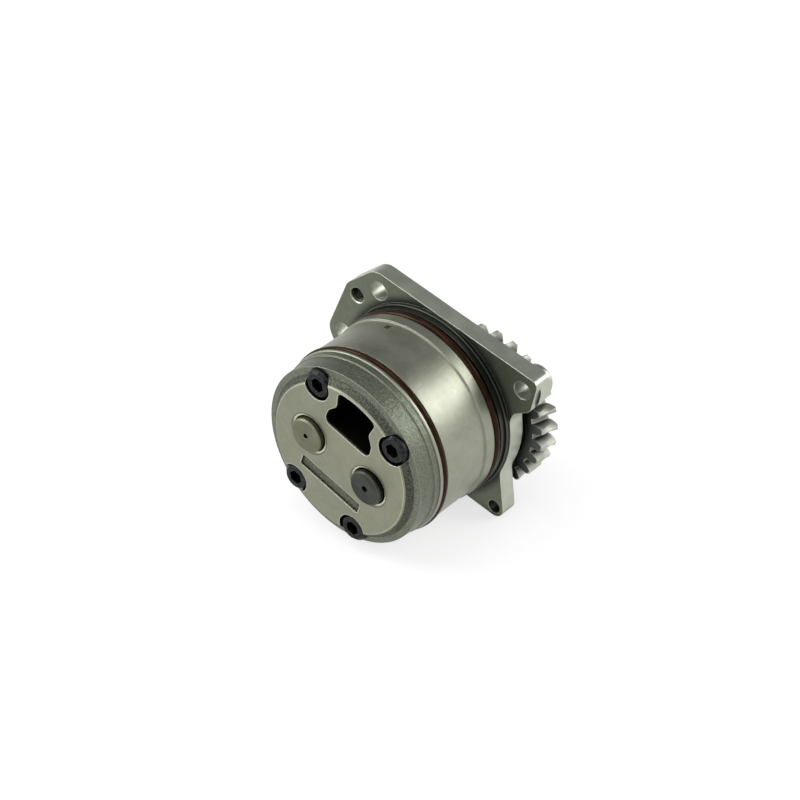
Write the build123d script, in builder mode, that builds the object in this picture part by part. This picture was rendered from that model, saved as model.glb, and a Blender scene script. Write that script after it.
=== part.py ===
"""Engine oil pump: a flange-mounted spur-gear pump driven through a helical gear.

The origin is on the pump axis at the flange's mounting face. +Y runs from the cover to the drive
gear and +Z is up. Lengths are in millimetres and angles in degrees.
"""

from build123d import *
from math import atan, cos, degrees, pi, radians, sin, sqrt, tan
import os

os.makedirs("parts", exist_ok=True)

# Clearances
running_gap = 0.03      # shaft in bush, all round
fit_gap = 0.01          # fixed pieces in their seats, all round
tip_gap = 0.07          # pump gear tips to the chamber wall
end_gap = 0.05          # pump gears and drive gear to the faces beside them
hole_gap = 0.5          # shaft through a plain hole, all round
key_top_gap = 0.3       # key to the floor of the hub's slot
ring_seat_gap = 0.02    # O-ring to the floor of its groove
same = 0.001            # lengths closer than this are taken as equal

# How the pump is clocked about its axis
gear_line_tilt = -18.7  # line through both shafts, from +X
flange_tilt = -11.9     # flange's straight edges, from +X

# Lengths along the axis
cover_length = 14.7
body_length = 42.1      # joint face to flange face
flange_thickness = 8.5
chamber_depth = 28.0
shaft_stand_out = 2.3   # shaft ends proud of the cover's face

# Stations along Y
joint_y = -body_length
face_y = joint_y - cover_length
chamber_floor_y = joint_y + chamber_depth
shaft_front_y = face_y - shaft_stand_out

# Pump gears
centre_distance = 34.0
pump_teeth = 10
pump_pressure_angle = 28.0
pump_backlash = 0.12
pump_dedendum_factor = 1.25
pump_root_fillet = 0.9
pump_module = centre_distance / pump_teeth
pump_pitch_radius = centre_distance / 2
pump_tip_radius = pump_pitch_radius + pump_module
chamber_radius = pump_tip_radius + tip_gap
half_line = centre_distance / 2

# Shafts and bushes
shaft_radius = 8.0
shaft_chamfer = 0.6
centre_drill_radius = 1.3
centre_drill_depth = 1.5
bush_wall = 2.0
bush_chamfer = 0.4
bush_front_length = 12.0
bush_drive_length = 19.0
bush_idler_length = 16.0
bush_setback = 0.5      # bush ends below the faces that the pump gears run on
idler_end_room = 1.0    # idler shaft's end to the floor of its bore
bush_radius = shaft_radius + bush_wall
shaft_hole_radius = shaft_radius + hole_gap
shaft_rebate_width = 0.95   # shallow step round each shaft in the cover's face
shaft_rebate_depth = 0.4
shaft_rebate_radius = shaft_hole_radius + shaft_rebate_width

# Keys
key_width = 5.0
key_height = 5.0
key_depth_in_shaft = 3.0
pump_key_length = 20.0
gear_key_length = 9.0
drive_key_angle = 0.0   # key angles, from the gear line
idler_key_angle = 90.0
gear_key_angle = 90.0

# Cover's casting
face_radius = 35.0
slope_run = 3.0         # sloping wall below the face, across and along
shoulder_width = 3.0    # slope's foot to the rim
shoulder_drop = 0.5
rim_draft = 0.4
band_step = 0.5
band_length = 2.8
slope_fillet = 1.2
shoulder_radius = face_radius + slope_run + shoulder_width
plate_recess_width = 33.0
plate_recess_height = 6.0
plate_recess_depth = 0.8
plate_recess_v = -16.0
plate_recess_corner = 1.0

# Inlet port: half outline in the gear line's frame, mirrored about the middle
port_floor_v = 13.5
port_outer_radius = 34.3
port_foot_half = 12.7
port_hip = (12.1, 20.4)
port_waist = (9.0, 25.2)
port_head_half = 10.4
port_foot_corner = 3.3
port_bend = 3.0
port_head_corner = 2.2
inlet_pocket_depth = 24.0

# Discharge window in the body's wall, on the side away from the port
window_width = 16.0
window_length = 14.0
window_corner = 3.0
window_setback = 9.1    # joint face to the window
window_inner_v = -10.0

# Cover screws and dowels
screw_circle_radius = 34.0
upper_screw_angle = 52.0
lower_screw_angle = 60.5
screw_radius = 4.0
screw_hole_gap = 0.4
head_radius = 6.5
head_height = 8.0
head_chamfer = 1.3
head_gap = 0.25         # head in its counterbore, all round
head_below_face = 0.5
socket_width = 6.0
socket_depth = 4.0
screw_grip = 14.0       # thread held in the body
screw_hole_spare = 3.0
dowel_radius = 2.0
dowel_reach = 4.0       # into the cover and into the body
dowel_end_room = 0.5
dowel_chamfer = 0.3
dowel_circle_radius = 35.0
dowel_angles = (142.0, -42.0)

# Body's turned outside
front_land_radius = 42.5
front_land_length = 1.4
front_ring_cord = 2.6
front_ring_outer = 43.2
front_groove_width = 3.0
rear_land_radius = 43.3
rear_land_start = 13.8  # flange face to the start of the rear land
rear_land_ramp = 0.4
rear_ring_cord = 3.5
rear_ring_outer = 44.1
rear_groove_width = 4.45
rear_groove_back = 4.2  # flange face to the back of the groove
spigot_radius = 44.4
spigot_length = 1.8
land_chamfer = 0.3

# Flange: hole centres and edges in the flange's own tilted frame
flange_ledge = 0.5      # flange's round beyond the spigot
flange_radius = spigot_radius + flange_ledge
flange_chamfer = 0.4
bolt_hole_radius = 4.45
top_bolt_hole = (-35.2, 36.0)
side_bolt_hole = (-49.0, 2.1)
side_lobe_radius = 8.3
tapped_hole = (-45.8, 26.1)
tapped_hole_radius = 3.4
tapped_lobe_radius = 6.8
corner_hole = (43.2, 36.9)
corner_hole_radius = 4.2
corner_reach = 6.2      # corner hole to the flange's right edge
corner_drop = 7.7       # corner hole down to the ear's lower corner
corner_round = 3.0
ear_round = 4.5
ear_throat = (42.2, 22.6)
ear_root = (40.5, 12.0)
throat_round = 4.0
lug_hole = (45.1, -31.6)
lug_hole_radius = 3.2
lug_radius = 4.8
lug_root_radius = 2.0
lug_root_side = (39.7, -7.3)
lug_root_foot = (20.0, -34.4)
lug_fillet = 8.0
hole_chamfer = 0.5

# Bosses on the flange's back
corner_boss_start = 3.0
corner_boss_radius = 6.8
corner_boss_end = 12.0
corner_boss_draft = 3.0
corner_boss_low = 3.0   # boss reaches this far below the corner hole
corner_boss_round = 1.0
bearing_boss_radius = 14.5
bearing_boss_height = 3.0
bearing_boss_fillet = 1.0

# Drive gear
gear_teeth = 26
gear_module = 2.5       # normal module
gear_helix = 15.0
gear_pressure_angle = 20.0
gear_width = 11.0
gear_backlash = 0.1
gear_dedendum_factor = 1.22
gear_root_fillet = 0.5
gear_tip_chamfer = 0.7
gear_rear_phase = 1.95  # a tooth's angle at the gear's back face, from +X
gear_recess_inner = 14.5
gear_recess_outer = 27.0
gear_recess_depth = 1.6

# Drive gear's fixings
thrust_washer_radius = 14.0
thrust_washer_thickness = 1.45
gear_washer_radius = 13.0
gear_washer_thickness = 2.0
thread_radius = 7.0
nut_width = 22.0
nut_height = 8.0
nut_chamfer = 1.0
thread_stand_out = 2.0
seat_short = 0.5        # gear seat ends inside the gear, so that the washer clamps it

# Places worked out from the sizes above
boss_end_y = flange_thickness + bearing_boss_height
gear_front_y = boss_end_y + thrust_washer_thickness + end_gap
gear_back_y = gear_front_y + gear_width
washer_back_y = gear_back_y + gear_washer_thickness
nut_back_y = washer_back_y + nut_height
shaft_back_y = nut_back_y + thread_stand_out
drive_bush_front_y = chamber_floor_y + bush_setback
idler_bore_floor_y = drive_bush_front_y + bush_idler_length + idler_end_room
idler_back_y = idler_bore_floor_y - idler_end_room
cover_bush_back_y = joint_y - bush_setback
rotor_mid_y = (joint_y + chamber_floor_y) / 2
drive_centre = (half_line, 0)
idler_centre = (-half_line, 0)
drive_x = half_line * cos(radians(gear_line_tilt))
drive_z = half_line * sin(radians(gear_line_tilt))
drive_axis = Axis((drive_x, 0, drive_z), (0, 1, 0))
idler_axis = Axis((-drive_x, 0, -drive_z), (0, 1, 0))


def on_circle(radius, angle):
    """Point at an angle, in degrees, on a circle about the origin."""
    return (radius * cos(radians(angle)), radius * sin(radians(angle)))


screw_points = [
    on_circle(screw_circle_radius, upper_screw_angle),
    on_circle(screw_circle_radius, 180 - upper_screw_angle),
    on_circle(screw_circle_radius, 180 + lower_screw_angle),
    on_circle(screw_circle_radius, -lower_screw_angle),
]
dowel_points = [on_circle(dowel_circle_radius, angle) for angle in dowel_angles]


def section(y, tilt=0.0):
    """Plane across the pump axis, facing the cover's side: x is +X and y is +Z, both turned by tilt."""
    turn = radians(tilt)
    return Plane(origin=(0, y, 0), x_dir=(cos(turn), 0, sin(turn)), z_dir=(0, -1, 0))


def centred(y, centre):
    """Plane across the pump axis along the gear line, with its origin on a shaft's axis."""
    plane = section(y, gear_line_tilt)
    return Plane(origin=plane.from_local_coords(Vector(*centre)), x_dir=plane.x_dir, z_dir=plane.z_dir)


def lengthwise(axis):
    """Plane through a shaft's axis: x is the radius and y runs along the shaft."""
    return Plane(origin=axis.position, x_dir=(1, 0, 0), z_dir=(0, 0, 1))


def key_plane(centre, angle, y):
    """Plane on the floor of a key seat: x along the shaft, facing out at an angle from the gear line."""
    turn = radians(gear_line_tilt + angle)
    middle = section(y, gear_line_tilt).from_local_coords(Vector(*centre))
    outward = Vector(cos(turn), 0, sin(turn))
    floor = middle + outward * (shaft_radius - key_depth_in_shaft)
    return Plane(origin=floor, x_dir=(0, 1, 0), z_dir=outward)


def flank_angle(radius, base_radius, pitch_radius, tooth_width):
    """Angle in radians from a tooth's middle to its involute flank at a radius."""
    pitch_roll = sqrt((pitch_radius / base_radius) ** 2 - 1)
    roll = sqrt(max((radius / base_radius) ** 2 - 1, 0))
    return tooth_width / (2 * pitch_radius) + (pitch_roll - atan(pitch_roll)) - (roll - atan(roll))


def gear_face(plane, teeth, pitch_radius, pressure_angle, tip_radius, root_radius, tooth_width,
              root_fillet, first_tooth):
    """Sketch of a full gear outline: involute flanks in two arcs each, radial below the base circle."""
    base_radius = pitch_radius * cos(radians(pressure_angle))
    flank_radii = [base_radius + (tip_radius - base_radius) * share for share in (0, 0.1, 0.3, 0.6, 1)]
    half_angles = [flank_angle(r, base_radius, pitch_radius, tooth_width) for r in flank_radii]
    pitch_angle = 2 * pi / teeth

    def polar(radius, angle):
        return Vector(radius * cos(angle), radius * sin(angle))

    with BuildSketch(plane) as outline:
        with BuildLine():
            for tooth in range(teeth):
                middle = radians(first_tooth) + tooth * pitch_angle
                rising = [polar(r, middle - a) for r, a in zip(flank_radii, half_angles)]
                falling = [polar(r, middle + a) for r, a in zip(flank_radii, half_angles)][::-1]
                foot_in = polar(root_radius, middle - half_angles[0])
                foot_out = polar(root_radius, middle + half_angles[0])
                next_foot = polar(root_radius, middle + pitch_angle - half_angles[0])
                Line(foot_in, rising[0])
                ThreePointArc(*rising[:3])
                ThreePointArc(*rising[2:])
                ThreePointArc(rising[-1], polar(tip_radius, middle), falling[0])
                ThreePointArc(*falling[:3])
                ThreePointArc(*falling[2:])
                Line(falling[-1], foot_out)
                ThreePointArc(foot_out, polar(root_radius, middle + pitch_angle / 2), next_foot)
        make_face()
        feet = outline.vertices().filter_by(lambda v: abs(Vector(v).length - root_radius) < same)
        fillet(feet, root_fillet)
    return outline.sketch


def port_face(plane):
    """Sketch of the inlet port: a rounded foot, a narrower waist and a head cut to the cover's round."""
    head_v = sqrt(port_outer_radius**2 - port_head_half**2)
    with BuildSketch(plane) as outline:
        with BuildLine():
            side = Polyline((port_head_half, head_v), port_waist, port_hip, (port_foot_half, port_floor_v))
            mirror(side, about=Plane.YZ)
            Line((port_foot_half, port_floor_v), (-port_foot_half, port_floor_v))
            ThreePointArc((-port_head_half, head_v), (0, port_outer_radius), (port_head_half, head_v))
        make_face()
        for corner, radius in (
            (port_hip, port_bend),
            (port_waist, port_bend),
            ((port_foot_half, port_floor_v), port_foot_corner),
            ((port_head_half, head_v), port_head_corner),
        ):
            for side in (1, -1):
                nearest = outline.vertices().sort_by_distance((side * corner[0], corner[1], 0))[0]
                fillet(nearest, radius)
    return outline.sketch


def key_seat(centre, angle, y, length):
    """Cuts a round-ended key seat into the shaft being built."""
    with BuildSketch(key_plane(centre, angle, y)) as seat:
        SlotOverall(length + 2 * fit_gap, key_width + 2 * fit_gap)
    extrude(seat.sketch, amount=key_depth_in_shaft + key_height, mode=Mode.SUBTRACT)


def hub_slot(centre, angle, y, length):
    """Cuts a straight key slot through the hub being built."""
    with BuildSketch(key_plane(centre, angle, y)) as slot:
        Rectangle(length, key_width + 2 * fit_gap)
    extrude(slot.sketch, amount=key_height + key_top_gap, mode=Mode.SUBTRACT)


def round_edges(piece, radius):
    """Circular edges of a given radius on the piece being built."""
    circles = piece.edges().filter_by(GeomType.CIRCLE)
    return circles.filter_by(lambda edge: abs(edge.radius - radius) < same)


def bore(plane, points, radius, depth):
    """Cuts plain round holes forward from a plane."""
    with BuildSketch(plane) as holes:
        with Locations(*points):
            Circle(radius)
    extrude(holes.sketch, amount=depth, mode=Mode.SUBTRACT)


# Pump body: turned barrel, flange and bosses
front_groove_radius = front_ring_outer - front_ring_cord - ring_seat_gap
rear_groove_radius = rear_ring_outer - rear_ring_cord - ring_seat_gap
front_groove_y = joint_y + front_land_length
rear_groove_y = -rear_groove_back - rear_groove_width

with BuildPart() as pump_body:
    with BuildSketch(Plane.XY):
        with BuildLine():
            Polyline(
                (0, joint_y),
                (front_land_radius - land_chamfer, joint_y),
                (front_land_radius, joint_y + land_chamfer),
                (front_land_radius, front_groove_y),
                (front_groove_radius, front_groove_y),
                (front_groove_radius, front_groove_y + front_groove_width),
                (front_land_radius, front_groove_y + front_groove_width),
                (front_land_radius, -rear_land_start),
                (rear_land_radius, -rear_land_start + rear_land_ramp),
                (rear_land_radius, rear_groove_y),
                (rear_groove_radius, rear_groove_y),
                (rear_groove_radius, -rear_groove_back),
                (rear_land_radius, -rear_groove_back),
                (rear_land_radius, -spigot_length),
                (spigot_radius - land_chamfer, -spigot_length),
                (spigot_radius, -spigot_length + land_chamfer),
                (spigot_radius, 0),
                (0, 0),
                close=True,
            )
        make_face()
    revolve(axis=Axis.Y)

    flange_plane = section(flange_thickness, flange_tilt)
    with BuildSketch(flange_plane) as flange:
        with BuildSketch(mode=Mode.PRIVATE) as plate:
            Circle(flange_radius)
            with Locations(top_bolt_hole):
                Circle(flange_radius - top_bolt_hole[1])
            with Locations(side_bolt_hole):
                Circle(side_lobe_radius)
            with Locations(tapped_hole):
                Circle(tapped_lobe_radius)
            make_hull()
        with BuildSketch(mode=Mode.PRIVATE) as ear:
            with BuildLine():
                FilletPolyline(
                    (0, flange_radius),
                    (corner_hole[0] + corner_reach, flange_radius),
                    (corner_hole[0] + corner_reach, corner_hole[1] - corner_drop),
                    ear_throat,
                    ear_root,
                    radius=[corner_round, ear_round, throat_round],
                )
                Polyline(ear_root, (0, 0), (0, flange_radius))
            make_face()
        with BuildSketch(mode=Mode.PRIVATE) as lug:
            with Locations(lug_hole):
                Circle(lug_radius)
            with Locations(lug_root_side, lug_root_foot):
                Circle(lug_root_radius)
            make_hull()
        add(plate.sketch)
        add(ear.sketch)
        add(lug.sketch)
        inner_corners = flange.vertices().filter_by(
            lambda v: abs(Vector(v).length - flange_radius) < same and v.X > 0 and v.Y < ear_throat[1])
        fillet(inner_corners, lug_fillet)
    extrude(amount=flange_thickness)
    flange_back = pump_body.faces().sort_by(Axis.Y)[-1]
    chamfer(flange_back.outer_wire().edges(), flange_chamfer)

    with BuildSketch(section(corner_boss_end, flange_tilt)):
        with Locations(corner_hole):
            Circle(corner_boss_radius)
        with Locations((corner_hole[0], corner_hole[1] - corner_boss_low)):
            Circle(corner_boss_radius)
        make_hull()
    extrude(amount=corner_boss_end - corner_boss_start, taper=-corner_boss_draft)
    boss_end = pump_body.faces().sort_by(Axis.Y)[-1]
    fillet(boss_end.outer_wire().edges(), corner_boss_round)

    with BuildSketch(section(boss_end_y, gear_line_tilt)):
        with Locations(drive_centre):
            Circle(bearing_boss_radius)
    extrude(amount=bearing_boss_height)
    boss_foot = round_edges(pump_body, bearing_boss_radius).sort_by(Axis.Y)[0]
    fillet(boss_foot, bearing_boss_fillet)

    # Chamber for the two pump gears, open at the joint face
    bore(section(chamber_floor_y, gear_line_tilt), [drive_centre, idler_centre],
         chamber_radius, chamber_depth)

    # Inlet pocket behind the port
    pocket = port_face(section(joint_y + inlet_pocket_depth, gear_line_tilt))
    extrude(pocket, amount=inlet_pocket_depth, mode=Mode.SUBTRACT)

    # Discharge window, cut outwards from the chamber
    window_plane = Plane(
        origin=section(joint_y + window_setback + window_length / 2, gear_line_tilt).from_local_coords(
            Vector(0, window_inner_v)),
        x_dir=(0, 1, 0),
        z_dir=section(0, gear_line_tilt).y_dir * -1,
    )
    with BuildSketch(window_plane):
        RectangleRounded(window_length, window_width, window_corner)
    extrude(amount=flange_radius, mode=Mode.SUBTRACT)

    # Bush seats and the drive shaft's way out
    bore(section(drive_bush_front_y + bush_drive_length, gear_line_tilt), [drive_centre],
         bush_radius + fit_gap, bush_drive_length + bush_setback)
    bore(section(boss_end_y, gear_line_tilt), [drive_centre],
         shaft_hole_radius, boss_end_y - chamber_floor_y)
    bore(section(idler_bore_floor_y, gear_line_tilt), [idler_centre],
         bush_radius + fit_gap, idler_bore_floor_y - chamber_floor_y)

    # Holes for the cover's screws and dowels
    bore(section(joint_y + screw_grip + screw_hole_spare, gear_line_tilt), screw_points,
         screw_radius + fit_gap, screw_grip + screw_hole_spare)
    bore(section(joint_y + dowel_reach + dowel_end_room, gear_line_tilt), dowel_points,
         dowel_radius + fit_gap, dowel_reach + dowel_end_room)

    # Flange holes
    bore(flange_plane, [top_bolt_hole, side_bolt_hole], bolt_hole_radius, flange_thickness)
    bore(flange_plane, [tapped_hole], tapped_hole_radius, flange_thickness)
    bore(flange_plane, [lug_hole], lug_hole_radius, flange_thickness)
    bore(section(corner_boss_end, flange_tilt), [corner_hole], corner_hole_radius, corner_boss_end)
    for hole_radius in (bolt_hole_radius, lug_hole_radius, corner_hole_radius):
        back_rims = round_edges(pump_body, hole_radius).filter_by(lambda edge: edge.center().Y > 0)
        chamfer(back_rims, hole_chamfer)
    chamfer(round_edges(pump_body, tapped_hole_radius), hole_chamfer)
pump_body.part.label = "pump_body"
export_step(pump_body.part, "parts/pump_body.step")

# Front cover: cast slope and rim, machined face, port, recessed screw heads and bearing seats
rim_step_y = joint_y - band_length
with BuildPart() as front_cover:
    with BuildSketch(Plane.XY) as cover_section:
        with BuildLine():
            Polyline(
                (0, face_y),
                (face_radius, face_y),
                (face_radius + slope_run, face_y + slope_run),
                (shoulder_radius, face_y + slope_run + shoulder_drop),
                (shoulder_radius + rim_draft, rim_step_y),
                (shoulder_radius + rim_draft + band_step, rim_step_y),
                (shoulder_radius + rim_draft + band_step, joint_y),
                (0, joint_y),
                close=True,
            )
        make_face()
        slope_foot = cover_section.vertices().sort_by_distance(
            (face_radius + slope_run, face_y + slope_run, 0))[0]
        fillet(slope_foot, slope_fillet)
    revolve(axis=Axis.Y)

    port = port_face(section(joint_y, gear_line_tilt))
    extrude(port, amount=cover_length, mode=Mode.SUBTRACT)

    with BuildSketch(section(face_y, gear_line_tilt)):
        with Locations((0, plate_recess_v)):
            RectangleRounded(plate_recess_width, plate_recess_height, plate_recess_corner)
    extrude(amount=-plate_recess_depth, mode=Mode.SUBTRACT)

    bore(section(joint_y, gear_line_tilt), screw_points, screw_radius + screw_hole_gap, cover_length)
    head_seat_y = face_y + head_below_face + head_height
    bore(section(head_seat_y, gear_line_tilt), screw_points, head_radius + head_gap, head_seat_y - face_y)

    bore(section(joint_y, gear_line_tilt), [drive_centre, idler_centre], shaft_hole_radius, cover_length)
    bore(section(joint_y, gear_line_tilt), [drive_centre, idler_centre],
         bush_radius + fit_gap, bush_front_length + bush_setback)
    bore(section(face_y + shaft_rebate_depth, gear_line_tilt), [drive_centre, idler_centre],
         shaft_rebate_radius, shaft_rebate_depth)

    bore(section(joint_y, gear_line_tilt), dowel_points,
         dowel_radius + fit_gap, dowel_reach + dowel_end_room)
front_cover.part.label = "front_cover"
export_step(front_cover.part, "parts/front_cover.step")

# Cover screws: four socket-head cap screws
with BuildPart() as cover_screws:
    screw_tip_y = joint_y + screw_grip
    with BuildSketch(section(screw_tip_y, gear_line_tilt)):
        with Locations(*screw_points):
            Circle(screw_radius)
    extrude(amount=screw_tip_y - head_seat_y)
    with BuildSketch(section(head_seat_y, gear_line_tilt)):
        with Locations(*screw_points):
            Circle(head_radius)
    extrude(amount=head_height)
    chamfer(round_edges(cover_screws, head_radius).group_by(Axis.Y)[0], head_chamfer)
    with BuildSketch(section(head_seat_y - head_height, gear_line_tilt)):
        with Locations(*screw_points):
            RegularPolygon(socket_width / 2, 6, major_radius=False)
    extrude(amount=-socket_depth, mode=Mode.SUBTRACT)
cover_screws.part.label = "cover_screws"
export_step(cover_screws.part, "parts/cover_screws.step")

# O-rings in the two grooves
with BuildPart() as front_o_ring:
    with BuildSketch(Plane.XY):
        with Locations((front_ring_outer - front_ring_cord / 2, front_groove_y + front_groove_width / 2)):
            Circle(front_ring_cord / 2)
    revolve(axis=Axis.Y)
front_o_ring.part.label = "front_o_ring"
export_step(front_o_ring.part, "parts/front_o_ring.step")

with BuildPart() as rear_o_ring:
    with BuildSketch(Plane.XY):
        with Locations((rear_ring_outer - rear_ring_cord / 2, rear_groove_y + rear_groove_width / 2)):
            Circle(rear_ring_cord / 2)
    revolve(axis=Axis.Y)
rear_o_ring.part.label = "rear_o_ring"
export_step(rear_o_ring.part, "parts/rear_o_ring.step")

# Dowel pins that line the cover up with the body
with BuildPart() as dowel_pins:
    with BuildSketch(section(joint_y + dowel_reach, gear_line_tilt)):
        with Locations(*dowel_points):
            Circle(dowel_radius)
    extrude(amount=2 * dowel_reach)
    chamfer(round_edges(dowel_pins, dowel_radius), dowel_chamfer)
dowel_pins.part.label = "dowel_pins"
export_step(dowel_pins.part, "parts/dowel_pins.step")


def ring(plane, centre, inner_radius, outer_radius, length):
    """Plain ring built forward from a plane."""
    with BuildSketch(plane) as band:
        with Locations(centre):
            Circle(outer_radius)
            Circle(inner_radius, mode=Mode.SUBTRACT)
    extrude(band.sketch, amount=length)


# Bushes
bush_bore = shaft_radius + running_gap
with BuildPart() as drive_bush_front:
    ring(section(cover_bush_back_y, gear_line_tilt), drive_centre, bush_bore, bush_radius, bush_front_length)
    chamfer(round_edges(drive_bush_front, bush_radius), bush_chamfer)
drive_bush_front.part.label = "drive_bush_front"
export_step(drive_bush_front.part, "parts/drive_bush_front.step")

with BuildPart() as idler_bush_front:
    ring(section(cover_bush_back_y, gear_line_tilt), idler_centre, bush_bore, bush_radius, bush_front_length)
    chamfer(round_edges(idler_bush_front, bush_radius), bush_chamfer)
idler_bush_front.part.label = "idler_bush_front"
export_step(idler_bush_front.part, "parts/idler_bush_front.step")

with BuildPart() as drive_bush_rear:
    ring(section(drive_bush_front_y + bush_drive_length, gear_line_tilt), drive_centre,
         bush_bore, bush_radius, bush_drive_length)
    chamfer(round_edges(drive_bush_rear, bush_radius), bush_chamfer)
drive_bush_rear.part.label = "drive_bush_rear"
export_step(drive_bush_rear.part, "parts/drive_bush_rear.step")

with BuildPart() as idler_bush_rear:
    ring(section(drive_bush_front_y + bush_idler_length, gear_line_tilt), idler_centre,
         bush_bore, bush_radius, bush_idler_length)
    chamfer(round_edges(idler_bush_rear, bush_radius), bush_chamfer)
idler_bush_rear.part.label = "idler_bush_rear"
export_step(idler_bush_rear.part, "parts/idler_bush_rear.step")

# Drive shaft: plain journals, key seats for the pump gear and drive gear, threaded end
gear_seat_end_y = gear_back_y - seat_short
gear_key_y = gear_front_y + gear_width / 2
with BuildPart() as drive_shaft:
    with BuildSketch(lengthwise(drive_axis)):
        with BuildLine():
            Polyline(
                (0, shaft_front_y + centre_drill_depth),
                (centre_drill_radius, shaft_front_y),
                (shaft_radius - shaft_chamfer, shaft_front_y),
                (shaft_radius, shaft_front_y + shaft_chamfer),
                (shaft_radius, gear_seat_end_y),
                (thread_radius, gear_seat_end_y),
                (thread_radius, shaft_back_y - shaft_chamfer),
                (thread_radius - shaft_chamfer, shaft_back_y),
                (centre_drill_radius, shaft_back_y),
                (0, shaft_back_y - centre_drill_depth),
                close=True,
            )
        make_face()
    revolve(axis=drive_axis)
    key_seat(drive_centre, drive_key_angle, rotor_mid_y, pump_key_length)
    key_seat(drive_centre, gear_key_angle, gear_key_y, gear_key_length)
drive_shaft.part.label = "drive_shaft"
export_step(drive_shaft.part, "parts/drive_shaft.step")

# Idler shaft
with BuildPart() as idler_shaft:
    with BuildSketch(lengthwise(idler_axis)):
        with BuildLine():
            Polyline(
                (0, shaft_front_y + centre_drill_depth),
                (centre_drill_radius, shaft_front_y),
                (shaft_radius - shaft_chamfer, shaft_front_y),
                (shaft_radius, shaft_front_y + shaft_chamfer),
                (shaft_radius, idler_back_y - shaft_chamfer),
                (shaft_radius - shaft_chamfer, idler_back_y),
                (0, idler_back_y),
                close=True,
            )
        make_face()
    revolve(axis=idler_axis)
    key_seat(idler_centre, idler_key_angle, rotor_mid_y, pump_key_length)
idler_shaft.part.label = "idler_shaft"
export_step(idler_shaft.part, "parts/idler_shaft.step")


def key(centre, angle, y, length):
    """Round-ended key standing in its seat."""
    with BuildSketch(key_plane(centre, angle, y)) as outline:
        SlotOverall(length, key_width)
    extrude(outline.sketch, amount=key_height)


with BuildPart() as drive_rotor_key:
    key(drive_centre, drive_key_angle, rotor_mid_y, pump_key_length)
drive_rotor_key.part.label = "drive_rotor_key"
export_step(drive_rotor_key.part, "parts/drive_rotor_key.step")

with BuildPart() as idler_rotor_key:
    key(idler_centre, idler_key_angle, rotor_mid_y, pump_key_length)
idler_rotor_key.part.label = "idler_rotor_key"
export_step(idler_rotor_key.part, "parts/idler_rotor_key.step")

with BuildPart() as drive_gear_key:
    key(drive_centre, gear_key_angle, gear_key_y, gear_key_length)
drive_gear_key.part.label = "drive_gear_key"
export_step(drive_gear_key.part, "parts/drive_gear_key.step")

# Pump gears, meshed in the middle: a tooth of one stands in a gap of the other
rotor_length = chamber_depth - 2 * end_gap
rotor_back_y = chamber_floor_y - end_gap
pump_root_radius = pump_pitch_radius - pump_dedendum_factor * pump_module
pump_tooth_width = pi * pump_module / 2 - pump_backlash / 2
drive_first_tooth = 0.0
idler_first_tooth = drive_first_tooth + 180 / pump_teeth

with BuildPart() as drive_rotor:
    teeth = gear_face(
        centred(rotor_back_y, drive_centre), pump_teeth, pump_pitch_radius, pump_pressure_angle,
        pump_tip_radius, pump_root_radius, pump_tooth_width, pump_root_fillet, drive_first_tooth)
    extrude(teeth, amount=rotor_length)
    bore(section(rotor_back_y, gear_line_tilt), [drive_centre], shaft_radius + fit_gap, rotor_length)
    hub_slot(drive_centre, drive_key_angle, rotor_mid_y, rotor_length + fit_gap)
drive_rotor.part.label = "drive_rotor"
export_step(drive_rotor.part, "parts/drive_rotor.step")

with BuildPart() as idler_rotor:
    teeth = gear_face(
        centred(rotor_back_y, idler_centre), pump_teeth, pump_pitch_radius, pump_pressure_angle,
        pump_tip_radius, pump_root_radius, pump_tooth_width, pump_root_fillet, idler_first_tooth)
    extrude(teeth, amount=rotor_length)
    bore(section(rotor_back_y, gear_line_tilt), [idler_centre], shaft_radius + fit_gap, rotor_length)
    hub_slot(idler_centre, idler_key_angle, rotor_mid_y, rotor_length + fit_gap)
idler_rotor.part.label = "idler_rotor"
export_step(idler_rotor.part, "parts/idler_rotor.step")

# Drive gear: helical teeth on a webbed blank
gear_transverse_module = gear_module / cos(radians(gear_helix))
gear_pitch_radius = gear_teeth * gear_transverse_module / 2
gear_tip_radius = gear_pitch_radius + gear_module
gear_root_radius = gear_pitch_radius - gear_dedendum_factor * gear_module
gear_transverse_angle = degrees(atan(tan(radians(gear_pressure_angle)) / cos(radians(gear_helix))))
gear_tooth_width = pi * gear_transverse_module / 2 - gear_backlash / 2
gear_twist = degrees(gear_width * tan(radians(gear_helix)) / gear_pitch_radius)

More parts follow.
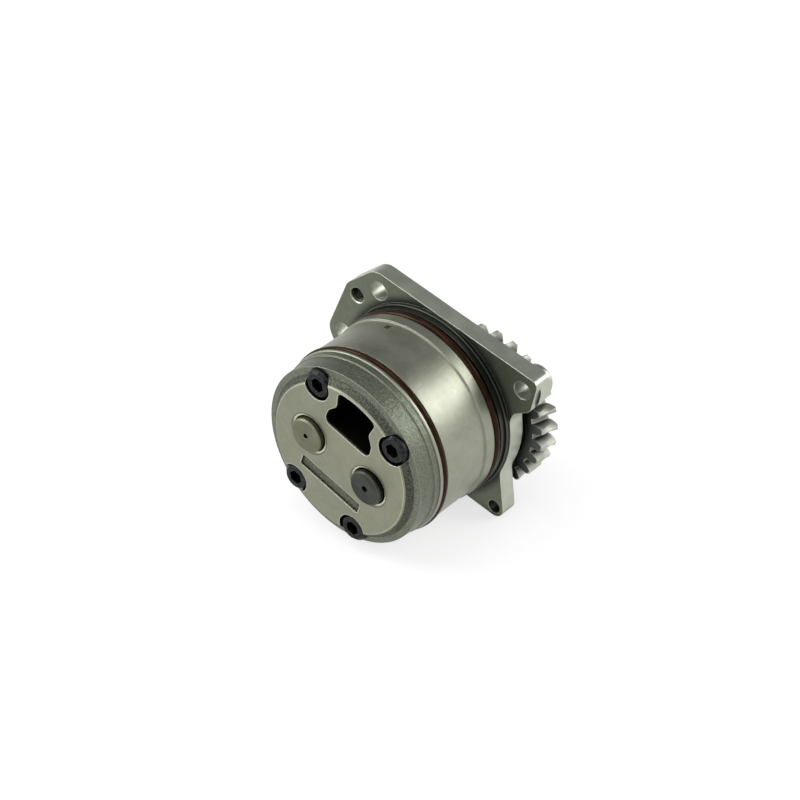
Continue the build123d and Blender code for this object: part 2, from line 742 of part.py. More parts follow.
with BuildPart() as drive_gear:
    back_tooth = gear_rear_phase - gear_line_tilt
    teeth_at_back = gear_face(
        centred(gear_back_y, drive_centre), gear_teeth, gear_pitch_radius, gear_transverse_angle,
        gear_tip_radius, gear_root_radius, gear_tooth_width, gear_root_fillet, back_tooth)
    teeth_at_front = gear_face(
        centred(gear_front_y, drive_centre), gear_teeth, gear_pitch_radius, gear_transverse_angle,
        gear_tip_radius, gear_root_radius, gear_tooth_width, gear_root_fillet, back_tooth + gear_twist)
    loft([teeth_at_back, teeth_at_front], ruled=True)
    with BuildSketch(lengthwise(drive_axis)):
        with BuildLine():
            Polyline(
                (0, gear_front_y),
                (gear_recess_inner, gear_front_y),
                (gear_recess_inner, gear_front_y + gear_recess_depth),
                (gear_recess_outer, gear_front_y + gear_recess_depth),
                (gear_recess_outer, gear_front_y),
                (gear_tip_radius - gear_tip_chamfer, gear_front_y),
                (gear_tip_radius, gear_front_y + gear_tip_chamfer),
                (gear_tip_radius, gear_back_y - gear_tip_chamfer),
                (gear_tip_radius - gear_tip_chamfer, gear_back_y),
                (gear_recess_outer, gear_back_y),
                (gear_recess_outer, gear_back_y - gear_recess_depth),
                (gear_recess_inner, gear_back_y - gear_recess_depth),
                (gear_recess_inner, gear_back_y),
                (0, gear_back_y),
                close=True,
            )
        make_face()
    revolve(axis=drive_axis, mode=Mode.INTERSECT)
    bore(section(gear_back_y, gear_line_tilt), [drive_centre], shaft_radius + fit_gap, gear_width)
    hub_slot(drive_centre, gear_key_angle, gear_key_y, gear_width + fit_gap)
drive_gear.part.label = "drive_gear"
export_step(drive_gear.part, "parts/drive_gear.step")

# Washers and nut of the drive gear
with BuildPart() as gear_thrust_washer:
    ring(section(boss_end_y + thrust_washer_thickness, gear_line_tilt), drive_centre,
         bush_bore, thrust_washer_radius, thrust_washer_thickness)
gear_thrust_washer.part.label = "gear_thrust_washer"
export_step(gear_thrust_washer.part, "parts/gear_thrust_washer.step")

with BuildPart() as gear_washer:
    ring(section(washer_back_y, gear_line_tilt), drive_centre,
         thread_radius + fit_gap, gear_washer_radius, gear_washer_thickness)
gear_washer.part.label = "gear_washer"
export_step(gear_washer.part, "parts/gear_washer.step")

with BuildPart() as gear_nut:
    with BuildSketch(section(nut_back_y, gear_line_tilt)):
        with Locations(drive_centre):
            RegularPolygon(nut_width / 2, 6, major_radius=False)
            Circle(thread_radius + fit_gap, mode=Mode.SUBTRACT)
    extrude(amount=nut_height)
    with BuildSketch(lengthwise(drive_axis)):
        with BuildLine():
            Polyline(
                (0, washer_back_y),
                (nut_width / 2 + nut_chamfer, washer_back_y),
                (nut_width / 2 + nut_chamfer, nut_back_y - nut_chamfer / 2),
                (nut_width / 2 - nut_chamfer, nut_back_y),
                (0, nut_back_y),
                close=True,
            )
        make_face()
    revolve(axis=drive_axis, mode=Mode.INTERSECT)
gear_nut.part.label = "gear_nut"
export_step(gear_nut.part, "parts/gear_nut.step")
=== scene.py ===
# %% [markdown]
# # An engine oil pump, dressed for the studio
# The pump's solid pieces come ready made, at their real size, in one frame. This lesson leaves every
# shape where it is. It gives each piece the finish that a workshop would leave on it, adds two threads
# and a punched mark that are too fine for the solids, and lights the pump softly on a pale floor.

# %% Load the pump
import math

import bmesh
import bpy
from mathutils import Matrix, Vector


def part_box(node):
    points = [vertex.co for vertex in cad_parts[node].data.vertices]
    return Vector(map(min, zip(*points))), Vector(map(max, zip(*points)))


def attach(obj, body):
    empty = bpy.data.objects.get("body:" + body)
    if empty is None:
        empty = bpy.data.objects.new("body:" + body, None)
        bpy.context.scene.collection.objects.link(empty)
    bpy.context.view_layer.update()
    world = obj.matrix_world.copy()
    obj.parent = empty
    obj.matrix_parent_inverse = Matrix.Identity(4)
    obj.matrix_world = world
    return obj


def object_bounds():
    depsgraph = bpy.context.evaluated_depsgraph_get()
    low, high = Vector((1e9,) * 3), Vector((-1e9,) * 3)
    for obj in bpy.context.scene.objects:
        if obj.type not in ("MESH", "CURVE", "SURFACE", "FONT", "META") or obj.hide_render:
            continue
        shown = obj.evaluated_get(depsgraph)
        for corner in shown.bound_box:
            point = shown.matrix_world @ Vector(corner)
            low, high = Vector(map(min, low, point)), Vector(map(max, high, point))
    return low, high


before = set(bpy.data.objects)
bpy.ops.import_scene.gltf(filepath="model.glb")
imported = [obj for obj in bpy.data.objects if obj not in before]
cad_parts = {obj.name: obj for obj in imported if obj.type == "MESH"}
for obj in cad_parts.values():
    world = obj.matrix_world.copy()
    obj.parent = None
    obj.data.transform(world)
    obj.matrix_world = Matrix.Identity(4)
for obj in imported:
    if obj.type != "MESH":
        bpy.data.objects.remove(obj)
cad_box = [[float(v) for v in corner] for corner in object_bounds()]
print("pump box in metres:", cad_box)

# %% [markdown]
# ## Where things are
# The finishes need a few places. The cover's faces, the rear ring and the two shafts are measured from
# the solids, so a finish follows them when they move. A box can't tell a radius or a depth inside a
# piece, so those few are written down at the solids' own sizes.

# %% Places
MM = 0.001

cover_low, cover_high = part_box("front_cover")
drive_low, drive_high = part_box("drive_shaft")
idler_low, idler_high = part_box("idler_shaft")
FACE_Y = cover_low[1]           # the cover's ground face
JOINT_Y = cover_high[1]         # where the cover meets the body
DRIVE_AXIS = ((drive_low[0] + drive_high[0]) / 2, (drive_low[2] + drive_high[2]) / 2)
IDLER_AXIS = ((idler_low[0] + idler_high[0]) / 2, (idler_low[2] + idler_high[2]) / 2)
RING_BACK_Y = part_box("rear_o_ring")[1][1]  # the rear ring's back; the step behind it is painted dark as shade
INNER_RADIUS = 40.4 * MM        # on the body, everything nearer the axis is inside
SPIGOT_RADIUS = 44.9 * MM       # the flange's front face starts here
PORT_RADIUS = 34.5 * MM         # the port and the plate recess lie nearer the axis than this
RIM_RADIUS = 39.0 * MM          # outside this, the cover is open to the light
RECESS_DEPTH = 1.5 * MM         # the plate recess is shallower than this
GROUND_DEPTH = 0.6 * MM         # the steps round the shafts are shallower, and ground with the face
STEP_RADIUS = 9.45 * MM         # a step's edge, from its shaft's axis
DRILLED = 1.2 * MM              # the radius of the centre hole in a shaft's end
print("cover face at", round(FACE_Y / MM, 2), "mm, shafts at",
      [round(v / MM, 2) for v in DRIVE_AXIS + IDLER_AXIS])

# %% [markdown]
# ## Small helpers for shader nodes
# A material is a graph. Each helper adds one node, joins its inputs and gives back its result, so a
# finish reads like a sum. An input may be a number or another node's output.

# %% Node helpers


def put(tree, kind, operation=None, **inputs):
    """Adds a node; inputs are set by name, or by number when written as i0, i1 and so on."""
    node = tree.nodes.new(kind)
    if operation:
        node.operation = operation
    for name, value in inputs.items():
        socket = node.inputs[int(name[1:])] if name[0] == "i" and name[1:].isdigit() else node.inputs[name]
        if isinstance(value, bpy.types.NodeSocket):
            tree.links.new(value, socket)
        else:
            socket.default_value = value
    return node


def maths(tree, operation, a, b=0.0):
    """A Math node's result."""
    return put(tree, "ShaderNodeMath", operation, i0=a, i1=b).outputs[0]


def times(tree, a, b):
    """The product; for two masks, where both are 1."""
    return maths(tree, "MULTIPLY", a, b)


def flip(tree, mask):
    """1 where the mask is 0, and 0 where it is 1."""
    return maths(tree, "SUBTRACT", 1.0, mask)


def below(tree, value, limit):
    """1 where a value is under its limit."""
    return maths(tree, "LESS_THAN", value, limit)


def above(tree, value, limit):
    """1 where a value is over its limit."""
    return maths(tree, "GREATER_THAN", value, limit)


def ramp(tree, value, low, high, first=0.0, last=1.0):
    """Runs from first to last while a value runs from low to high."""
    limits = {"From Min": low, "From Max": high, "To Min": first, "To Max": last}
    return put(tree, "ShaderNodeMapRange", Value=value, **limits).outputs[0]


print("maths helpers: times, flip, below, above and ramp")

# %% [markdown]
# ## Shared groups
# Effects that many finishes share, such as tool marks, are built once as node groups. A group's sockets
# are made through its interface, and each material places the group with its own values. A group gives
# only colours, masks and normals, so that each material keeps its own shader.

# %% Group helpers
FLOAT = "NodeSocketFloat"
VECTOR = "NodeSocketVector"


def group(name, inputs, outputs):
    """A new node group, with the outputs of its input node and the inputs of its output node."""
    tree = bpy.data.node_groups.new(name, "ShaderNodeTree")
    for label, default in inputs.items():
        socket = tree.interface.new_socket(label, in_out="INPUT", socket_type=FLOAT)
        socket.default_value = default
    for label, kind in outputs.items():
        tree.interface.new_socket(label, in_out="OUTPUT", socket_type=kind)
    return tree, tree.nodes.new("NodeGroupInput").outputs, tree.nodes.new("NodeGroupOutput").inputs


def use(tree, shared, **values):
    """Places a shared group in a material with its own values."""
    node = tree.nodes.new("ShaderNodeGroup")
    node.node_tree = shared
    for name, value in values.items():
        node.inputs[name.replace("_", " ")].default_value = value
    return node.outputs


def object_place(tree):
    """The place on the object, in metres; a node's object sits at the origin, so this is the frame's."""
    return put(tree, "ShaderNodeTexCoord").outputs["Object"]


print("group helpers: group, use and object_place")

# %% [markdown]
# ## Distance from an axis
# Turned work changes with the distance from its axis: a ground step runs round each shaft, and the port's
# walls lie inside the cover's rim. One small group gives the distance from an axis along Y, and the
# place along it. By default, the axis is the pump's own.

# %% Distance from an axis


def axis_distance(tree, place, given):
    """Distance from the axis along Y at a group's Centre X and Centre Z."""
    across = maths(tree, "SUBTRACT", place[0], given["Centre X"])
    upward = maths(tree, "SUBTRACT", place[2], given["Centre Z"])
    square = maths(tree, "ADD", times(tree, across, across), times(tree, upward, upward))
    return maths(tree, "SQRT", square)


from_axis, given, result = group("from_axis", {"Centre X": 0.0, "Centre Z": 0.0},
                                 {"Radius": FLOAT, "Along": FLOAT})
place = put(from_axis, "ShaderNodeSeparateXYZ", i0=object_place(from_axis)).outputs
from_axis.links.new(axis_distance(from_axis, place, given), result["Radius"])
from_axis.links.new(place[1], result["Along"])
print("from_axis has", len(from_axis.nodes), "nodes")

# %% [markdown]
# ## Tool marks
# A lathe leaves fine rings round the axis that the work turned about. They could be drawn by hand, but
# noise read at (radius, length) does it everywhere at once: on a face only the radius changes, and on a
# barrel only the length does, so both get rings that follow the tool.

# %% Tool marks
tool_marks, given, result = group(
    "tool_marks", {"Centre X": 0.0, "Centre Z": 0.0, "Pitch": 0.25 * MM}, {"Lines": FLOAT})
place = put(tool_marks, "ShaderNodeSeparateXYZ", i0=object_place(tool_marks)).outputs
radius = axis_distance(tool_marks, place, given)
ring_place = put(tool_marks, "ShaderNodeCombineXYZ",
                 i0=maths(tool_marks, "DIVIDE", radius, given["Pitch"]),
                 i1=maths(tool_marks, "DIVIDE", place[1], given["Pitch"])).outputs[0]
rings = put(tool_marks, "ShaderNodeTexNoise", Vector=ring_place, Scale=1.0, Detail=2.0, Roughness=0.6)
tool_marks.links.new(rings.outputs[0], result["Lines"])
print("tool_marks has", len(tool_marks.nodes), "nodes")

# %% [markdown]
# ## Cast skin
# Sand leaves a cast face grainy, with small pits. Two noises of different size make the grain, and
# Voronoi cells make the pits. The group gives a height for the bump and a speckle for the colour.

# %% Cast skin
LUMP_SCALE, PIT_SCALE = 0.28, 0.5      # beside the grain's own scale
GRAIN_HEIGHT, PIT_HEIGHT = 0.5, 0.35   # beside the lumps' own height
SPECKLE = (0.36, 0.66)                 # the grain's values between which the speckle grows

cast_skin, given, result = group("cast_skin", {"Grain": 0.6 * MM}, {"Height": FLOAT, "Speckle": FLOAT})
place = object_place(cast_skin)
grain_scale = maths(cast_skin, "DIVIDE", 1.0, given["Grain"])
grain = put(cast_skin, "ShaderNodeTexNoise", Vector=place, Scale=grain_scale, Detail=3.0,
            Roughness=0.65).outputs[0]
lumps = put(cast_skin, "ShaderNodeTexNoise", Vector=place,
            Scale=times(cast_skin, grain_scale, LUMP_SCALE), Detail=2.0).outputs[0]
pits = put(cast_skin, "ShaderNodeTexVoronoi", Vector=place,
           Scale=times(cast_skin, grain_scale, PIT_SCALE)).outputs[0]
height = maths(cast_skin, "ADD", times(cast_skin, grain, GRAIN_HEIGHT), lumps)
height = maths(cast_skin, "ADD", height, times(cast_skin, pits, PIT_HEIGHT))
cast_skin.links.new(height, result["Height"])
cast_skin.links.new(ramp(cast_skin, grain, *SPECKLE), result["Speckle"])
print("cast_skin has", len(cast_skin.nodes), "nodes")

# %% [markdown]
# ## Handling film
# A pump from stock carries a thin film of preserving oil, so its gloss and colour drift from place to
# place. Noise with much detail, pulled a little out of shape, gives that drift as one mask.

# %% Handling film
DRIFT = (0.32, 0.68)  # the noise's values between which the film thins out

film, given, result = group("film", {"Size": 12 * MM}, {"Mask": FLOAT})
blotch = put(film, "ShaderNodeTexNoise", Vector=object_place(film),
             Scale=maths(film, "DIVIDE", 1.0, given["Size"]), Detail=5.0, Roughness=0.6, Distortion=0.4)
film.links.new(ramp(film, blotch.outputs[0], *DRIFT), result["Mask"])
print("film has", len(film.nodes), "nodes")

# %% [markdown]
# ## Scuffs
# Machined faces pick up fine scratches on the bench. Noise that is read on a stretched grid gives thin
# streaks, and a high threshold leaves only a few of them.

# %% Scuffs
SCUFF_LEAN = 0.7     # radians, about an axis along Y
FEW = (0.62, 0.74)   # only the noise's highest values make a streak

scuffs, given, result = group("scuffs", {"Width": 0.2 * MM, "Length": 6 * MM}, {"Lines": FLOAT})
leaning = put(scuffs, "ShaderNodeVectorRotate", Axis=(0, 1, 0), Angle=SCUFF_LEAN,
              i0=object_place(scuffs)).outputs[0]
thin = maths(scuffs, "DIVIDE", 1.0, given["Width"])
long = maths(scuffs, "DIVIDE", 1.0, given["Length"])
stretch = put(scuffs, "ShaderNodeCombineXYZ", i0=thin, i1=long, i2=long).outputs[0]
streaks = put(scuffs, "ShaderNodeTexNoise", Scale=1.0, Detail=1.0,
              Vector=put(scuffs, "ShaderNodeVectorMath", "MULTIPLY", i0=leaning, i1=stretch).outputs[0])
scuffs.links.new(ramp(scuffs, streaks.outputs[0], *FEW), result["Lines"])
print("scuffs has", len(scuffs.nodes), "nodes")

# %% [markdown]
# ## Broken edges
# Every machined edge is broken with a file or a small chamfer, and it catches the light. The Bevel node
# bends the normal near an edge; where it differs from the plain normal, there is an edge. Both the bent
# normal and the mask come out of the group.

# %% Broken edges
BENT = (0.995, 0.86)  # the normals' product, from hardly bent to well bent

edges, given, result = group("broken_edges", {"Radius": 0.4 * MM}, {"Normal": VECTOR, "Edge": FLOAT})
rounding = put(edges, "ShaderNodeBevel", Radius=given["Radius"])
rounding.samples = 6
plain = put(edges, "ShaderNodeNewGeometry").outputs["Normal"]
along = put(edges, "ShaderNodeVectorMath", "DOT_PRODUCT", i0=rounding.outputs[0], i1=plain).outputs["Value"]
edges.links.new(rounding.outputs[0], result["Normal"])
edges.links.new(ramp(edges, along, *BENT), result["Edge"])
print("broken_edges has", len(edges.nodes), "nodes")

# %% [markdown]
# ## Hollows
# Ports, screw pockets and the gap behind the flange are painted dark as shade, since little light gets in
# and out again there. Ambient occlusion measures how closed in a point is. Two limits turn it into a mask,
# so that an open face keeps its full colour and a deep hole is painted in shade.

# %% Hollows
hollow_shade, given, result = group("hollow_shade", {"Reach": 6 * MM, "Shut": 0.3, "Clear": 0.8}, {"Open": FLOAT})
shut_in = put(hollow_shade, "ShaderNodeAmbientOcclusion", Distance=given["Reach"])
shut_in.samples = 8
openness = ramp(hollow_shade, shut_in.outputs["AO"], given["Shut"], given["Clear"])
hollow_shade.links.new(openness, result["Open"])
print("hollows has", len(hollow_shade.nodes), "nodes")

# %% [markdown]
# ## Which way a face looks
# A face cut square to the pump's axis is finished in another way than the sides or slopes beside it, and
# the cover's slope and the gear's forward faces are painted in shade. The normal's length along the axis
# tells them apart, on a piece that turns about that axis as well.

# %% Which way a face looks
FRONT_LEAN = -0.95       # a face looks forward where its normal's Y is under this
SLOPE_LEAN = 0.68        # the cover's slope leans this far forward,
SLOPE_SPAN = 0.26        # give or take this much

facing, given, result = group("facing", {}, {"Front": FLOAT, "Slope": FLOAT})
lean = put(facing, "ShaderNodeSeparateXYZ",
           i0=put(facing, "ShaderNodeNewGeometry").outputs["True Normal"]).outputs[1]
off_slope = maths(facing, "ABSOLUTE", maths(facing, "ADD", lean, SLOPE_LEAN))
facing.links.new(below(facing, lean, FRONT_LEAN), result["Front"])
facing.links.new(below(facing, off_slope, SLOPE_SPAN), result["Slope"])
print("facing has", len(facing.nodes), "nodes")

# %% [markdown]
# ## Materials and their shader
# Each finish is a material with one Principled shader. A few more helpers make that material, mix two
# colours by a mask, run a number with a mask, and turn a height into a bump.

# %% Material helpers


def emptied(owner):
    """The node tree of a material or world, with nothing in it."""
    owner.use_nodes = True
    owner.node_tree.nodes.clear()
    return owner.node_tree


def blank(name):
    """A new material with a Principled shader; gives the material, its tree and the shader."""
    material = bpy.data.materials.new(name)
    tree = emptied(material)
    shader = tree.nodes.new("ShaderNodeBsdfPrincipled")
    put(tree, "ShaderNodeOutputMaterial", i0=shader.outputs[0])
    return material, tree, shader


def mix(tree, mask, a, b):
    """Colour a where the mask is 0 and colour b where it is 1."""
    node = tree.nodes.new("ShaderNodeMix")
    node.data_type = "RGBA"
    tree.links.new(mask, node.inputs[0])
    for number, colour in ((6, a), (7, b)):
        if isinstance(colour, bpy.types.NodeSocket):
            tree.links.new(colour, node.inputs[number])
        else:
            node.inputs[number].default_value = (*colour, 1)
    return node.outputs[2]


def vary(tree, mask, low, high):
    """A number that runs from low to high with a mask."""
    return maths(tree, "ADD", times(tree, mask, high - low), low)


def bump(tree, height, distance, **more):
    """The normal over a height; distance is the depth in metres where the height is 1."""
    return put(tree, "ShaderNodeBump", Strength=1.0, Distance=distance, Height=height, **more).outputs[0]


print("material helpers: emptied, blank, mix, vary and bump")

# %% [markdown]
# ## One recipe for worked metal
# Most pieces are the same idea with other numbers: a metal with tool marks, a film of oil, worn edges with
# a painted highlight, and painted shade in the hollows. The recipe is a function, and the shader itself
# stays in each material.

# %% Worked metal
MARK_DEPTH = 0.004 * MM    # how deep the tool's rings are
EDGE_HIGHLIGHT_STRENGTH = 0.7        # how far a broken edge takes its worn colour with a painted highlight
HOLLOW_SHADE_SHARE = 0.04        # how much of the film's dark colour is kept in the painted shade of a hollow
OIL_GLOSS = 0.06           # how much rougher the metal is in the film's lighter colour
HOLE_SHADE = (0.002, 0.002, 0.002)


def worked_metal(name, dark, light, rough, centre=(0.0, 0.0), pitch=0.25 * MM, blotch=12 * MM,
                 edge_light=1.35, edge_radius=0.4 * MM, face=None, reach=6 * MM, drilled=None):
    """Turned or ground metal; dark and light are the film's colours, rough the marks' two roughnesses."""
    material, tree, shader = blank(name)
    marks = use(tree, tool_marks, Centre_X=centre[0], Centre_Z=centre[1], Pitch=pitch)
    oil = use(tree, film, Size=blotch)
    corner = use(tree, edges, Radius=edge_radius)
    clear = use(tree, hollow_shade, Reach=reach)
    colour = mix(tree, oil["Mask"], dark, light)
    # face, where given, is painted on the forward faces as shade
    if face:
        colour = mix(tree, use(tree, facing)["Front"], colour, face)
    # edges are painted lighter, partly as worn metal and partly as a painted highlight
    edge_wear_and_highlight = tuple(min(1.0, part * edge_light) for part in light)
    colour = mix(tree, times(tree, corner["Edge"], EDGE_HIGHLIGHT_STRENGTH), colour, edge_wear_and_highlight)
    # hollows are painted in the film's darkest colour as shade
    colour = mix(tree, clear["Open"], tuple(part * HOLLOW_SHADE_SHARE for part in dark), colour)
    # the centre hole is painted black as shade
    if drilled:
        from_centre = use(tree, from_axis, Centre_X=centre[0], Centre_Z=centre[1])["Radius"]
        colour = mix(tree, below(tree, from_centre, drilled), colour, HOLE_SHADE)
    tree.links.new(colour, shader.inputs["Base Color"])
    shader.inputs["Metallic"].default_value = 1.0
    roughness = maths(tree, "ADD", vary(tree, marks["Lines"], *rough), times(tree, oil["Mask"], OIL_GLOSS))
    tree.links.new(roughness, shader.inputs["Roughness"])
    tree.links.new(bump(tree, marks["Lines"], MARK_DEPTH, Normal=corner["Normal"]),
                   shader.inputs["Normal"])
    return material


print("worked_metal makes turned, ground and blackened steel, and bronze")

# %% [markdown]
# ## The body: where each finish lies
# The body is one casting, turned outside and milled on the flange. One material could be split over two
# slots, but masks on the place and the normal keep the solid in one piece. The barrel, the flange, the
# band at the joint where no shade is painted, and the step behind the rear ring and the inside, both
# painted in shade, are each a mask.

# %% Body masks
FLANGE_START = -0.03 * MM   # the flange's front face, with room for rounding
JOINT_LINE = 1.2 * MM       # how far behind the joint with the cover the painted shade of hollows is left off
SPIGOT_SHADE = 3.5 * MM     # how far the painted shadow reaches out from the spigot

body_metal, tree, shader = blank("body_turned_and_milled")
axis = use(tree, from_axis)
at_joint = times(tree, below(tree, axis["Along"], JOINT_Y + JOINT_LINE),
                 above(tree, axis["Radius"], INNER_RADIUS))
on_flange = above(tree, axis["Along"], FLANGE_START)
before_flange = flip(tree, on_flange)
inside = times(tree, below(tree, axis["Radius"], INNER_RADIUS), before_flange)
behind_ring = times(tree, above(tree, axis["Along"], RING_BACK_Y), before_flange)
milled = times(tree, on_flange, use(tree, facing)["Front"])
clear_of_spigot_shade = ramp(tree, axis["Radius"], SPIGOT_RADIUS, SPIGOT_RADIUS + SPIGOT_SHADE)
print("body masks:", len(tree.nodes), "nodes")

# %% [markdown]
# ## The body: colours of the metal
# The barrel is left satin, with a green-grey cast. The flange's sides are bright, and its milled front is
# darker; round the spigot it is painted darker still, as the barrel's shadow. Each colour drifts between
# two tones with the film of oil, and a finer film mottles it.

# %% Body colours
TURNED = ((0.236, 0.245, 0.192), (0.322, 0.330, 0.267))
FLANGE_SIDE = ((0.39, 0.415, 0.345), (0.52, 0.54, 0.465))
MILLED = ((0.115, 0.134, 0.096), (0.155, 0.174, 0.128))
TURNED_MOTTLE = (0.40, 0.405, 0.34)
MILLED_MOTTLE = (0.22, 0.24, 0.185)
SPIGOT_SHADOW_TONE = (0.075, 0.086, 0.066)
SCRATCH_TONE = (0.5, 0.51, 0.44)
EDGE_WEAR_AND_HIGHLIGHT = (0.75, 0.76, 0.66)
MOTTLE_SIZE = 2.2 * MM
MOTTLE_SHARE = 0.2
SCRATCH_SHARE = 0.2
EDGE_SHARES = (0.3, 0.95)  # the barrel's edges are softer than the flange's

oil = use(tree, film, Size=20 * MM)
corner = use(tree, edges, Radius=0.4 * MM)
mottle = times(tree, use(tree, film, Size=MOTTLE_SIZE)["Mask"], MOTTLE_SHARE)
turned_colour = mix(tree, mottle, mix(tree, oil["Mask"], *TURNED), TURNED_MOTTLE)
milled_colour = mix(tree, mottle, mix(tree, oil["Mask"], *MILLED), MILLED_MOTTLE)
# round the spigot, the milled front is painted darker as the barrel's shadow
milled_colour = mix(tree, clear_of_spigot_shade, SPIGOT_SHADOW_TONE, milled_colour)
colour = mix(tree, on_flange, turned_colour, mix(tree, oil["Mask"], *FLANGE_SIDE))
colour = mix(tree, milled, colour, milled_colour)
colour = mix(tree, times(tree, use(tree, scuffs)["Lines"], SCRATCH_SHARE), colour, SCRATCH_TONE)
# edges are painted lighter, partly worn metal and partly a painted highlight, most on the flange
edge_share = vary(tree, on_flange, *EDGE_SHARES)
colour = mix(tree, times(tree, corner["Edge"], edge_share), colour, EDGE_WEAR_AND_HIGHLIGHT)
print("body colours:", len(tree.nodes), "nodes")

# %% [markdown]
# ## The body: a punched mark and dark places
# Four small dots are punched near the top of the barrel. Taking the absolute value of the place makes one
# dot into four. The tapped hole, the step behind the rear ring, the inside and the hollows are painted
# nearly black as shade.

# %% Body mark and dark places
PUNCH = (-0.00756, -0.01705, 0.04182)  # the mark's middle, on the barrel, left of the top
DOT = (0.62 * MM, 0.62 * MM, 0.0)      # a dot's middle from the mark's
DOT_RADIUS = 0.62 * MM
FLANGE_TILT = math.radians(-11.9)      # the flange's straight edges, from +X
TAPPED_U, TAPPED_V = -45.8 * MM, 26.1 * MM  # the jacking hole, along and across those edges
TAPPED = (TAPPED_U * math.cos(FLANGE_TILT) - TAPPED_V * math.sin(FLANGE_TILT),
          TAPPED_U * math.sin(FLANGE_TILT) + TAPPED_V * math.cos(FLANGE_TILT))
TAPPED_WALL = 3.43 * MM                # just outside the hole's wall
PUNCH_TONE = (0.02, 0.022, 0.018)
STEP_SHADE = (0.03, 0.034, 0.028)
INSIDE_SHADE = (0.01, 0.01, 0.008)
TAPPED_SHADE = (0.02, 0.024, 0.018)
GAP_SHADE = (0.008, 0.009, 0.007)
SHADED_SHARE = 0.85                           # how far the painted shade covers the metal

from_middle = put(tree, "ShaderNodeVectorMath", "SUBTRACT", i0=object_place(tree), i1=PUNCH).outputs[0]
one_quarter = put(tree, "ShaderNodeVectorMath", "ABSOLUTE", i0=from_middle).outputs[0]
from_dot = put(tree, "ShaderNodeVectorMath", "DISTANCE", i0=one_quarter, i1=DOT).outputs["Value"]
punched = below(tree, from_dot, DOT_RADIUS)
from_tap = use(tree, from_axis, Centre_X=TAPPED[0], Centre_Z=TAPPED[1])["Radius"]
clear = use(tree, hollow_shade, Reach=7 * MM, Shut=0.42, Clear=0.82)
colour = mix(tree, punched, colour, PUNCH_TONE)
# painted shade: the step behind the rear ring, the inside, the tapped hole and the hollows go nearly black
colour = mix(tree, times(tree, behind_ring, SHADED_SHARE), colour, STEP_SHADE)
colour = mix(tree, times(tree, inside, SHADED_SHARE), colour, INSIDE_SHADE)
colour = mix(tree, below(tree, from_tap, TAPPED_WALL), colour, TAPPED_SHADE)
colour = mix(tree, maths(tree, "MAXIMUM", clear["Open"], at_joint), GAP_SHADE, colour)
print("jacking hole at", [round(v / MM, 2) for v in TAPPED], "mm")

# %% [markdown]
# ## The body: gloss and relief
# The turned rings are too shallow to see as a shape, so they are a bump, and they change the gloss too.
# The barrel turned about the pump's own axis, which is the tool marks' default centre. The milled face is
# a little rougher.

# %% Body shader
MARK_HEIGHT = 0.05   # the rings' height beside the dots' depth
DOT_DEPTH = 0.1 * MM
BODY_ROUGHNESS = (0.36, 0.48)
MILLED_ROUGHER = 0.08

marks = use(tree, tool_marks, Pitch=0.3 * MM)
roughness = vary(tree, marks["Lines"], *BODY_ROUGHNESS)
roughness = maths(tree, "ADD", roughness, times(tree, oil["Mask"], OIL_GLOSS))
roughness = maths(tree, "ADD", roughness, times(tree, milled, MILLED_ROUGHER))
height = maths(tree, "SUBTRACT", times(tree, marks["Lines"], MARK_HEIGHT), punched)
tree.links.new(colour, shader.inputs["Base Color"])
tree.links.new(roughness, shader.inputs["Roughness"])
tree.links.new(bump(tree, height, DOT_DEPTH, Normal=corner["Normal"]), shader.inputs["Normal"])
shader.inputs["Metallic"].default_value = 1.0
print("body finish:", len(tree.nodes), "nodes")

# %% [markdown]
# ## The cover: where each finish lies
# The cover is one casting with two skins: the face is ground flat, and the slope and rim stay as cast. A
# mask on the depth behind the face tells them apart, so one material holds both. The plate recess is as
# cast too. Down the port and the screw pockets, the walls are painted black as shade.

# %% Cover masks
SHADE_START, SHADE_FULL = 0.5 * MM, 1.6 * MM  # the depths between which the port's walls are painted black as shade

cover_metal, tree, shader = blank("cover_ground_and_cast")
axis = use(tree, from_axis)
which_way = use(tree, facing)
clear = use(tree, hollow_shade, Reach=10 * MM, Shut=0.55, Clear=0.85)
depth = maths(tree, "SUBTRACT", axis["Along"], FACE_Y)
as_cast = above(tree, depth, GROUND_DEPTH)
always_open = maths(tree, "MAXIMUM", above(tree, axis["Radius"], RIM_RADIUS), flip(tree, as_cast))
open_to_light = maths(tree, "MAXIMUM", clear["Open"], always_open)
within = below(tree, axis["Radius"], PORT_RADIUS)
floor_within = times(tree, times(tree, as_cast, which_way["Front"]), within)
shallow = times(tree, floor_within, below(tree, depth, RECESS_DEPTH))
in_port = times(tree, ramp(tree, depth, SHADE_START, SHADE_FULL), within)
in_port = times(tree, in_port, flip(tree, shallow))
print("cover masks:", len(tree.nodes), "nodes")

# %% [markdown]
# ## The cover: the ground face
# A rotary grinder leaves an even, pale face with faint rings. Oil has stained it a little warmer in
# places, the bench has scratched it, and each shaft's step is painted bright as a highlight, with a
# painted shadow along the lip round it.

# %% Cover face
GROUND = ((0.195, 0.205, 0.148), (0.245, 0.252, 0.188))
GROUND_MOTTLE = (0.30, 0.31, 0.235)
LIP_SHADOW = (0.05, 0.055, 0.04)
STEP_HIGHLIGHT = (0.62, 0.63, 0.50)
STAIN = (0.262, 0.245, 0.172)
FACE_SCRATCH = (0.42, 0.43, 0.34)
LIP_WIDTH = 0.4 * MM
STAIN_SIZE = 30 * MM
MOTTLED, SHADOWED, STAINED, SCRATCHED = 0.3, 0.85, 0.4, 0.3  # how strong each effect is on the face

